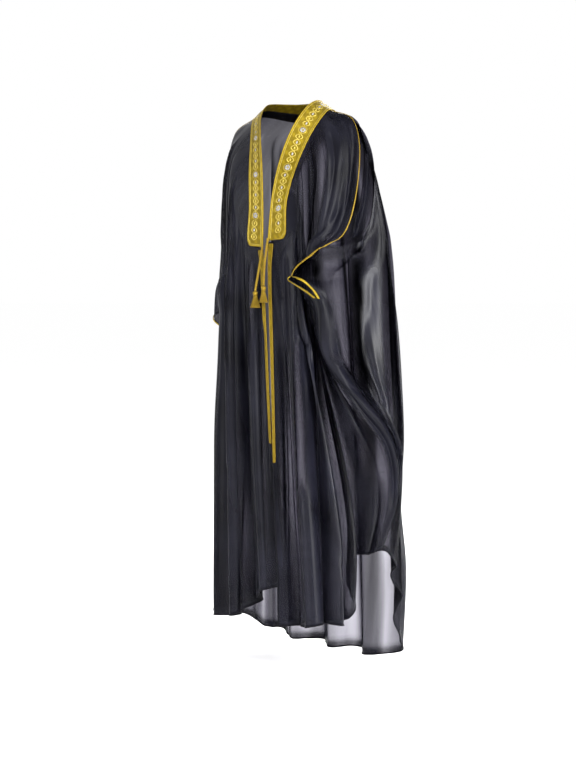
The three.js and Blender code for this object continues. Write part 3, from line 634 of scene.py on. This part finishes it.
# density of the cloth: more where it lies in more layers and at the hem, more as painted shade in crease
# troughs and in patches, less as painted highlight on crease ridges and in lighter patches
def layersAndPaintedShadeOf(line, station, face):
    look = layerAndPaintedShadeLook
    line, station = np.broadcast_arrays(line, station)
    calm = look["calmer"] * smoothStep((station - look["calmFrom"]) / look["calmOver"])
    creaseShadeAndHighlight = np.tanh(creaseDepth(line, station) / look["creaseDepth"])
    total = look[face] - look["creaseShadeAndHighlight"] * (1 - calm) * creaseShadeAndHighlight
    for at, level, reach, tall, change in layeringAndPaintedShade:
        total = total + change * np.exp(-((line - at) / reach) ** 4 - ((station - level) / tall) ** 2)
    hem = look["hem"] * smoothStep((station - look["hemFrom"]) / look["hemOver"])
    return np.clip(total + hem, 0, 1)


def asPlaces(line, station):
    return np.broadcast_arrays(*(np.atleast_1d(np.asarray(value, float)) for value in (line, station)))


# middle of the cloth, in metres; face says which panel's lip a hand opening moves
def clothPoints(line, station, face=None):
    line, station = asPlaces(line, station)
    normal = outwardNormals(basePoints, line, station)
    fine = smoothStep((station - creaseLook["from"]) / creaseLook["over"])
    depth = foldDepth(line, station) + fine * (creaseDepth(line, station) + rippleDepth(line, station))
    points = basePoints(line, station) + normal * depth[:, None]
    if face:
        for seam, front, back in handOpenings:
            near = np.maximum(0, 1 - np.abs(line - seam) / openingReach) ** 2
            atSlit = (station > waist) & (station < hip)
            gape = np.where(atSlit, np.sin(math.pi * (station - waist)) * near, 0)
            points = points + gape[:, None] * np.array(front if face == "front" else back, float)
    return points / 1000


# points on the cloth, and the outward normals there
def onCloth(line, station, face=None):
    line, station = asPlaces(line, station)
    normals = outwardNormals(lambda *places: clothPoints(*places, face), line, station)
    return clothPoints(line, station, face), normals


# stations evenly spaced down the cloth, from under the band to the hem, as the mean of a few lines
spread = {"from": 0.5, "steps": 240, "lineStep": 3}
spreadStations = np.linspace(spread["from"], lastStation, spread["steps"])
spreadRun = sum(runLength(basePoints(np.full(spread["steps"], float(line)), spreadStations))
                for line in range(2, lastLine, spread["lineStep"]))
spreadRun = spreadRun / spreadRun[-1]
print("cloth form worked out")


# cords and tassels
cordLook = {
    "diameter": 0.007,
    "strands": 3, "strand": 0.0019,  # how many are twisted, and each one's radius
    "twistsPerMetre": 42,
    "steps": 120, "sides": 7,
    "right": [(20.7, -149.2, -382), (21.2, -150.2, -390), (21.9, -153.3, -401), (22, -157, -416),
              (21, -160.5, -434), (19.5, -164, -454), (17.5, -167, -474), (15.5, -169.5, -492),
              (14, -171, -506)],
    "left": [(36.8, -146.3, -365), (37.1, -147.7, -374), (37.8, -151.5, -386), (38.4, -155.5, -403),
             (39, -159.5, -421), (39.6, -163, -439), (40.4, -166, -458), (41.2, -168.5, -477),
             (42, -170.5, -492)],
}
tasselLook = {
    "below": 0.0008,
    "knob": 0.007, "knobHeight": 0.0118, "neck": 0.0049,
    "crown": [(0, 0), (0.55, 0.0006)],             # shares of the knob's radius, and metres down
    "belly": [(0.92, 0.22), (1, 0.45), (0.9, 0.7)],  # shares of the knob's radius and height
    "foot": [(1, 0), (0.9, 0.002), (0, 0.003)],    # shares of the neck's radius, and metres below the knob
    "bindings": 4, "bindingRadius": 0.0006, "bindingFrom": 0.0021, "bindingEvery": 0.0011, "bindingReach": 1.06,
    "threads": 130, "threadRadius": 0.00052,
    "skirt": {"right": 0.0139, "left": 0.0119}, "skirtHeight": 0.0335,
    "goldenAngle": 2.399963, "top": 0.3, "flare": 1.15, "wander": 0.05, "uneven": 0.035,
}


def makeCord(side):
    look = cordLook
    points = np.array(look[side], float) / 1000
    path = throughPoints(points, np.linspace(0, len(points) - 1, look["steps"]))
    run = runLength(path)
    sideways, up = pathFrames(path)
    bm = bmesh.new()
    reach = look["diameter"] / 2 - look["strand"]
    for strand in range(look["strands"]):
        turn = (2 * math.pi * (look["twistsPerMetre"] * run + strand / look["strands"]))[:, None]
        route = path + reach * (np.cos(turn) * sideways + np.sin(turn) * up)
        addTube(bm, route, look["strand"], look["strand"], sides=look["sides"])
    cord = finishPiece(bm, f"cord{side.title()}", cordGold)
    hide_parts(f"cord_{side}")
    return cord, path, float(run[-1])


# points round an upright axis
def roundPoints(middle, radius, turn, height):
    x, y = middle[0] + radius * np.cos(turn), middle[1] + radius * np.sin(turn)
    return np.stack(np.broadcast_arrays(x, y, height), axis=1)


def makeTassel(side, top):
    look = tasselLook
    bm = bmesh.new()
    uv = bm.loops.layers.uv.verify()
    knob, neck, high = look["knob"], look["neck"], look["knobHeight"]
    addLathe(bm, [(knob * out, -down) for out, down in look["crown"]]
             + [(knob * out, -high * down) for out, down in look["belly"]]
             + [(neck * out, -high - down) for out, down in look["foot"]], top)
    ring = np.linspace(0, 2 * math.pi, 25)
    for row in range(look["bindings"]):
        level = top[2] - high - look["bindingFrom"] + row * look["bindingEvery"]
        addTube(bm, roundPoints(top, neck * look["bindingReach"], ring, level), look["bindingRadius"],
                look["bindingRadius"], sides=6)
    k = np.linspace(0, 1, 8)  # shares down the skirt
    swell = look["top"] + (1 - look["top"]) * k ** look["flare"]
    for thread in range(look["threads"]):
        share = math.sqrt((thread + 0.5) / look["threads"])
        turn = thread * look["goldenAngle"] + look["wander"] * np.sin(7 * k + thread * 1.7)
        long = look["skirtHeight"] * (1 - look["uneven"] * math.sin(thread * 2.3) ** 2)
        addTube(bm, roundPoints(top, share * look["skirt"][side] * swell, turn, top[2] - high - k * long),
                look["threadRadius"], look["threadRadius"], sides=5)
    for loop in (loop for face in bm.faces for loop in face.loops):
        if loop[uv].uv.length == 0:  # the knob, which has no UV of its own
            around = math.atan2(loop.vert.co.y - top[1], loop.vert.co.x - top[0])
            loop[uv].uv = (around * knob, loop.vert.co.z)
    bmesh.ops.recalc_face_normals(bm, faces=bm.faces)
    tassel = finishPiece(bm, f"tassel{side.title()}", cordGold)
    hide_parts(f"tassel_{side}")
    return tassel


for side in ("right", "left"):
    cord, path, length = makeCord(side)
    tassel = makeTassel(side, path[-1] - np.array([0, 0, tasselLook["below"]]))
print("cords and tassels made")


# cloth panels
panels = {
    "frontRight": {"face": "front", "lines": (0, seamRight), "columns": 150, "rows": 150,
                   "flat": (0.74, 1.42), "area": 0.62, "node": "front_right"},
    "backPanel": {"face": "back", "lines": (seamRight, seamLeft), "columns": 260, "rows": 150,
                  "flat": (1.46, 1.54), "area": 1.62, "node": "back"},
    "frontLeft": {"face": "front", "lines": (seamLeft, lastLine), "columns": 150, "rows": 150,
                  "flat": (0.74, 1.42), "area": 0.62, "node": "front_left"},
}
clothLook = {"hemRadius": 0.0023, "hemPerLine": 26, "edgeFrom": 8.8, "edgeSteps": 60,
             "seamRadius": 0.001, "seamRoom": 0.006, "seamSteps": 140}


# how far each row of points has run, added up along one way of a grid
def gridRun(grid, way):
    steps = np.linalg.norm(np.diff(grid, axis=way), axis=2)
    return np.insert(np.cumsum(steps, axis=way), 0, 0, axis=way)


# a sheet on an even grid: place gives points for shares across and down; UV is metres of cloth
def gridSheet(name, columns, rows, place, material, thickness, layers=None):
    bm = bmesh.new()
    bmesh.ops.create_grid(bm, x_segments=columns, y_segments=rows, size=1)
    mesh = toMesh(bm, name)
    flat = np.empty(len(mesh.vertices) * 3)
    mesh.vertices.foreach_get("co", flat)
    across, down = (flat.reshape(-1, 3)[:, 0] + 1) / 2, (1 - flat.reshape(-1, 3)[:, 1]) / 2
    points = place(across, down)
    i, j = np.rint(across * columns).astype(int), np.rint(down * rows).astype(int)
    grid = np.empty((columns + 1, rows + 1, 3))
    grid[i, j] = points
    mesh.vertices.foreach_set("co", points.ravel())
    corner = np.empty(len(mesh.loops), int)
    mesh.loops.foreach_get("vertex_index", corner)
    uv = np.stack([gridRun(grid, way)[i, j][corner] for way in (0, 1)], axis=1)
    mesh.uv_layers.new(name="UVMap").data.foreach_set("uv", uv.ravel())
    # an attribute for cloth layers and painted shade, which the chiffon's alpha reads
    if layers:
        mesh.attributes.new("layers", "FLOAT", "POINT").data.foreach_set("value", layers(across, down))
    mesh.update()
    middle = grid[columns // 2, rows // 2]
    outward = np.cross(grid[columns // 2 + 1, rows // 2] - middle, grid[columns // 2, rows // 2 + 1] - middle)
    centre = int(np.argmin(np.linalg.norm(points - middle, axis=1)))
    if Vector(outward).dot(mesh.vertices[centre].normal) < 0:
        mesh.flip_normals()
    sheet = addPiece(mesh, name, material)
    wall = sheet.modifiers.new("wall", "SOLIDIFY")
    wall.thickness = thickness
    wall.offset = 0
    return sheet


def makePanel(name, panel):
    first, end = panel["lines"]

    def where(across, down):
        line = first + clothLook["seamRoom"] + (end - first - 2 * clothLook["seamRoom"]) * across
        return line, np.interp(down, spreadRun, spreadStations), panel["face"]

    sheet = gridSheet(name, panel["columns"], panel["rows"], lambda *shares: clothPoints(*where(*shares)),
                      chiffon, clothWall, lambda *shares: layersAndPaintedShadeOf(*where(*shares)))
    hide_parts(panel["node"])
    return sheet


def edgeTube(bm, line, station, face, radius):
    points, normal = onCloth(line, station, face)
    addTube(bm, points, radius, radius, sides=6, upward=normal)


def makeHem(name, panel):
    bm = bmesh.new()
    first, end = panel["lines"]
    hem = np.linspace(first, end, (end - first) * clothLook["hemPerLine"])
    edgeTube(bm, hem, lastStation, panel["face"], clothLook["hemRadius"])
    frontEdge = np.linspace(clothLook["edgeFrom"], lastStation, clothLook["edgeSteps"])
    for line in (line for line in (first, end) if line in (0, lastLine)):
        edgeTube(bm, line, frontEdge, panel["face"], clothLook["hemRadius"])
    return finishPiece(bm, name, hemCloth)


for name, panel in panels.items():
    sheet = makePanel(name, panel)
    hem = makeHem(name + "Hem", panel)

for side, seam in (("Right", seamRight), ("Left", seamLeft)):
    bm = bmesh.new()
    edgeTube(bm, seam, np.linspace(hip, lastStation, clothLook["seamSteps"]), None, clothLook["seamRadius"])
    finishPiece(bm, "sideSeam" + side, hemCloth)
print("panels and hems made")


# embroidered band
# Trim is built flat, in metres along, metres across and metres up, and then laid on the cloth.
bandLook = {
    "lift": 0.0014,             # middle of the ground above the middle of the cloth
    "wall": 0.0012, "columnsPerLine": 16, "rows": 14,
    "corner": 0.014,            # radius of the rounded lower corner
    "cornerFade": 0.06,         # metres along the band over which the corner's cut dies out
    "step": 0.004, "endGap": 0.0005,
    "edgeInset": 0.0021, "edgeHalf": (0.0019, 0.0009),
    "lineInset": 0.0066, "lineHalf": (0.0006, 0.0006),
    "stripWidth": 0.017,
    "latticeReach": 0.009, "latticeHalf": (0.0011, 0.0006), "latticeStep": 0.0016,
    "eyeEvery": 0.0172, "eye": (0.009, 0.0045, 0.0011),  # length, width and height of a stitched dome
    "rosetteEvery": 0.112, "rosetteRadius": 0.009, "rosetteRoom": 0.004, "ringOut": 0.0016,
    "petals": 8, "petal": (0.0064, 0.0034, 0.0012), "petalReach": 0.0052, "heart": (0.0036, 0.0036, 0.0016),
}
bandTop = bandLook["lift"] + bandLook["wall"] / 2
bandLine = np.linspace(1, lastLine - 1, 401)
bandRun = runLength(clothPoints(bandLine, 0.5))  # along its middle; its edges are stations 0 and 1
bandBreadth = np.linalg.norm(clothPoints(bandLine, 1) - clothPoints(bandLine, 0), axis=1)
bandLength = float(bandRun[-1])


def layOn(bm, where, face=None):
    flat = np.array([tuple(vert.co) for vert in bm.verts])
    line, station = where(flat[:, 0], flat[:, 1])
    points, normal = onCloth(line, station, face)
    for vert, point in zip(bm.verts, points + normal * flat[:, 2:]):
        vert.co = point
    bmesh.ops.recalc_face_normals(bm, faces=bm.faces)


def onBand(along, across):
    past = 0.04  # share of the breadth that braid may lie over an edge
    line = np.interp(along, bandRun, bandLine)
    return line, np.clip(across / np.interp(line, bandLine, bandBreadth), -past, 1 + past)


def flatTube(bm, along, across, up, half):
    path = np.stack(np.broadcast_arrays(np.asarray(along, float), across, up), axis=1)
    addTube(bm, path, half[0], half[1], sides=6, upward=np.broadcast_to((0.0, 0.0, 1.0), path.shape))


# down the outer edge, round the corner and in along the lower end, as distances from that end
def outlineEnd(inset, breadth):
    corner = bandLook["corner"]
    turn = np.linspace(0, math.pi / 2, 9)[1:]
    along = np.concatenate([[corner], corner - (corner - inset) * np.sin(turn), [inset]])
    across = np.concatenate([[breadth - inset], breadth - corner + (corner - inset) * np.cos(turn),
                             [bandLook["stripWidth"] - inset]])
    return along, across


def bandOutline(inset):
    corner, step = bandLook["corner"], bandLook["step"]
    middle = np.arange(corner + step, bandLength - corner, step)
    firstAlong, firstAcross = outlineEnd(inset, float(bandBreadth[0]))
    endAlong, endAcross = outlineEnd(inset, float(bandBreadth[-1]))
    breadth = np.interp(middle, bandRun, bandBreadth)
    return (np.concatenate([firstAlong[::-1], middle, bandLength - endAlong]),
            np.concatenate([firstAcross[::-1], breadth - inset, endAcross]))


# a low dome of satin stitches on the band, pointing away from a centre at some reach
def addPetal(bm, along, across, size, turn=0.0, reach=0.0):
    uv = bm.loops.layers.uv.verify()
    made = bmesh.ops.create_uvsphere(bm, u_segments=8, v_segments=5, radius=1, calc_uvs=True)["verts"]
    length, width, height = size
    for vert in made:
        x, y = vert.co.x * length / 2 + reach, vert.co.y * width / 2
        vert.co = (along + x * math.cos(turn) - y * math.sin(turn),
                   across + x * math.sin(turn) + y * math.cos(turn), bandTop + vert.co.z * height)
    for loop in {loop for vert in made for loop in vert.link_loops}:
        loop[uv].uv *= length


def makeBandGround(name, first, end, node):
    corner, fade = bandLook["corner"], bandLook["cornerFade"]

    def place(across, down):
        line = first + (end - first) * across
        along, breadth = (np.interp(line, bandLine, values) for values in (bandRun, bandBreadth))
        past = np.clip(down * breadth - (breadth - corner), 0, corner)
        cut = corner - np.sqrt(corner ** 2 - past ** 2)
        cutHere, cutThere = (1 - smoothStep(away / fade) for away in (along, bandLength - along))
        along = along + cut * cutHere - cut * cutThere
        points, normal = onCloth(np.interp(along, bandRun, bandLine), down)
        return points + normal * bandLook["lift"]

    columns = int((end - first) * bandLook["columnsPerLine"])
    ground = gridSheet(name, columns, bandLook["rows"], place, bandGround, bandLook["wall"])
    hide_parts(node)
    long = float(np.interp(end, bandLine, bandRun) - np.interp(first, bandLine, bandRun))
    wide = float(np.mean(np.interp(np.linspace(first, end, 60), bandLine, bandBreadth)))
    return ground, (round(long, 3), round(wide, 3))


# a line of braid or stitching inside the band's outline and its inner edge
def makeBandBorder(name, material, inset, half, last=None):
    bm = bmesh.new()
    along, across = bandOutline(inset)
    flatTube(bm, along[:last], across[:last], bandTop, half)
    flatTube(bm, np.arange(bandLook["endGap"], bandLength, bandLook["step"]), inset, bandTop, half)
    layOn(bm, onBand)
    finishPiece(bm, name, material)


def makeBandNeedlework():
    look = bandLook
    count = int(bandLength / look["rosetteEvery"])
    start = (bandLength - (count - 1) * look["rosetteEvery"]) / 2
    rosettes = [start + k * look["rosetteEvery"] for k in range(count)]
    gap, room = look["rosetteRadius"] + look["rosetteRoom"], look["corner"] + look["rosetteRoom"]
    starts = [room] + [at + gap for at in rosettes]
    ends = [at - gap for at in rosettes] + [bandLength - room]
    gold, silver = bmesh.new(), bmesh.new()
    for k, (start, end) in enumerate(zip(starts, ends)):
        run = np.arange(start, end, look["latticeStep"])
        middle = float(np.interp((start + end) / 2, bandRun, bandBreadth)) / 2
        eyes = max(1, round((end - start) / look["eyeEvery"]))
        swing = look["latticeReach"] * np.sin(math.pi * eyes * (run - start) / (end - start))
        for sign in (1, -1):
            flatTube(gold, run, middle + sign * swing, bandTop, look["latticeHalf"])
        for eye in range(eyes):
            at = start + (eye + 0.5) * (end - start) / eyes
            addPetal(silver if (k + eye) % 2 else gold, at, middle, look["eye"])
    ring = np.linspace(0, 2 * math.pi, 33)
    radius = look["rosetteRadius"] + look["ringOut"]
    for at in rosettes:
        middle = float(np.interp(at, bandRun, bandBreadth)) / 2
        for petal in range(look["petals"]):
            turn = 2 * math.pi * petal / look["petals"]
            addPetal(silver, at, middle, look["petal"], turn, look["petalReach"])
        addPetal(gold, at, middle, look["heart"])
        flatTube(gold, at + radius * np.cos(ring), middle + radius * np.sin(ring), bandTop, look["lineHalf"])
    for bm, name, material in ((gold, "bandLattice", stitchGold), (silver, "bandRosettes", silverThread)):
        layOn(bm, onBand)
        finishPiece(bm, name, material)


grounds = [makeBandGround("bandRight", 1, seamRight, "band_right"),
           makeBandGround("bandBack", seamRight, seamLeft, "band_back"),
           makeBandGround("bandLeft", seamLeft, lastLine - 1, "band_left")]
makeBandBorder("bandEdgeBraid", braidGold, bandLook["edgeInset"], bandLook["edgeHalf"])
makeBandBorder("bandEdgeLine", stitchGold, bandLook["lineInset"], bandLook["lineHalf"], last=-1)
makeBandNeedlework()
print("band made")


# narrow edging, piping and braid round the hand openings; half sizes are half a width and half a height
trimLook = {
    "stations": 160, "beside": 0.2, "endGap": 0.0002,
    "strip": {"from": 1.06, "to": 8.8, "half": (0.006, 0.0006), "lift": 0.0016, "step": 0.004,
              "narrow": 0.7,                       # share of the width left at the foot
              "flare": 0.45, "flareOver": 0.07,    # extra width where it leaves the band, and over how far
              "tip": 0.005, "tipLeast": 0.02,
              "edgeHalf": (0.001, 0.0008), "edgeInset": 0.0012, "edgeLift": 0.0005,
              "zigzag": 0.005, "zigzagReach": 0.45, "zigzagHalf": (0.0005, 0.0004), "zigzagLift": 0.0006},
    "piping": {"from": 1.02, "to": 5.96, "half": (0.001, 0.0008), "lift": 0.0016, "step": 0.003,
               "strands": 2, "twist": 0.007, "swing": 0.0008, "rise": 0.0004},
    "cuff": {"half": (0.003, 0.0011), "lift": 0.0022, "away": 0.0036, "room": 0.03, "step": 0.0025,
             "ridgeAway": 0.0022, "ridgeLift": 0.0007, "ridgeHalf": (0.0009, 0.0008)},
}


# run down one hang line, and a function that finds places so far down it and beside it
def besideLine(line, face, start, end, sign):
    stations = np.linspace(start, end, trimLook["stations"])
    points = clothPoints(line, stations, face)
    near = clothPoints(line + sign * trimLook["beside"], stations, face)
    perMetre = trimLook["beside"] / np.linalg.norm(near - points, axis=1)
    run = runLength(points)

    def where(along, across):
        station = np.interp(along, run, stations)
        return line + sign * across * np.interp(station, stations, perMetre), station

    return run[-1], where


def makeStrip(side, line, sign):
    look = trimLook["strip"]
    length, where = besideLine(line, "front", look["from"], look["to"], sign)
    along = np.arange(trimLook["endGap"], length, look["step"])
    flare = look["flare"] * (1 - smoothStep(along / look["flareOver"]))
    tip = np.minimum(1, np.sqrt(np.clip((length - along) / look["tip"], look["tipLeast"], 1)))
    half = look["half"][0] * (1 - (1 - look["narrow"]) * along / length + flare) * tip
    centre = half + trimLook["endGap"]
    ground, edges = bmesh.new(), bmesh.new()
    flatTube(ground, along, centre, look["lift"], (half, look["half"][1]))
    for way in (-1, 1):
        flatTube(edges, along, centre + way * (half - look["edgeInset"]), look["lift"] + look["edgeLift"],
                 look["edgeHalf"])
    zigzag = np.abs((along / look["zigzag"]) % 2 - 1) * 2 - 1
    flatTube(edges, along, centre + zigzag * half * look["zigzagReach"], look["lift"] + look["zigzagLift"],
             look["zigzagHalf"])
    layOn(ground, where, "front")
    layOn(edges, where, "front")
    strip = finishPiece(ground, "strip" + side, bandGround)
    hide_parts("strip_" + side.lower())
    finishPiece(edges, "stripEdges" + side, cordGold)


def makePiping(side, line):
    look = trimLook["piping"]
    length, where = besideLine(line, None, look["from"], look["to"], 1)
    along = np.arange(trimLook["endGap"], length, look["step"])
    bm = bmesh.new()
    for strand in range(look["strands"]):
        turn = along / look["twist"] * math.pi + strand * math.pi
        across, up = look["swing"] * np.sin(turn), look["lift"] + look["rise"] * np.cos(turn)
        flatTube(bm, along, across, up, look["half"])
    layOn(bm, where)
    piping = finishPiece(bm, "piping" + side, cordGold)
    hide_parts("piping_" + side.lower())


def makeCuff(side, line, face, sign):
    look = trimLook["cuff"]
    length, where = besideLine(line, face, waist + look["room"], hip - look["room"], sign)
    along = np.arange(trimLook["endGap"], length, look["step"])
    bm = bmesh.new()
    flatTube(bm, along, look["away"], look["lift"], look["half"])
    for way in (-1, 1):
        flatTube(bm, along, look["away"] + way * look["ridgeAway"], look["lift"] + look["ridgeLift"],
                 look["ridgeHalf"])
    layOn(bm, where, face)
    cuff = finishPiece(bm, f"cuff{side}{face.title()}", braidGold)
    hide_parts(f"cuff_{side.lower()}_{face}")


makeStrip("Right", 0, 1)
makeStrip("Left", lastLine, -1)
makePiping("Right", seamRight)
makePiping("Left", seamLeft)
makeCuff("Right", seamRight, "front", -1)
makeCuff("Right", seamRight, "back", 1)
makeCuff("Left", seamLeft, "back", -1)
makeCuff("Left", seamLeft, "front", 1)
print("trim made")


# floor, light and sky
stage = {"floorZ": -1.562, "floorSize": 400, "floorShade": 0.995, "sky": 1.0, "lampsAim": (0, 0, -0.7)}
lamps = {
    # degrees round from straight in front, height in degrees, metres from the middle, width, height, watts
    "soft": (58, 44, 3.0, 1.6, 1.6, 130),
    "key": (76, 5, 2.8, 0.5, 2.2, 150),
    "front": (16, 5, 3.0, 0.4, 2.2, 50),
    "side": (136, 5, 2.6, 0.5, 2.2, 150),
    "left": (-50, 5, 2.8, 0.5, 2.2, 50),
    "back": (215, 30, 2.8, 1.2, 1.6, 60),
}

bm = bmesh.new()
bmesh.ops.create_grid(bm, x_segments=1, y_segments=1, size=stage["floorSize"] / 2)
bmesh.ops.translate(bm, verts=bm.verts, vec=(0, 0, stage["floorZ"]))
mesh = toMesh(bm, "floor")
floorPaper, _, _ = newMaterial("palePaper", Base_Color=(*[stage["floorShade"]] * 3, 1), Roughness=1.0,
                               Specular_IOR_Level=0.0)
mesh.materials.append(floorPaper)
floor = addObject("floor", mesh)

sky = bpy.data.worlds.new("sky")
sky.use_nodes = True
background = sky.node_tree.nodes["Background"]
background.inputs["Color"].default_value = (1, 1, 1, 1)
background.inputs["Strength"].default_value = stage["sky"]
scene.world = sky
scene.view_settings.view_transform = "Standard"

for name, (azimuth, elevation, away, width, height, watts) in lamps.items():
    data = bpy.data.lights.new(name, "AREA")
    data.shape = "RECTANGLE"
    data.size, data.size_y = width, height
    data.energy = watts
    lamp = addObject(name, data)
    direction = towards(azimuth, elevation)
    lamp.location = Vector(stage["lampsAim"]) + direction * away
    lamp.rotation_euler = direction.to_track_quat("Z", "Y").to_euler()
print("floor, light and sky made")
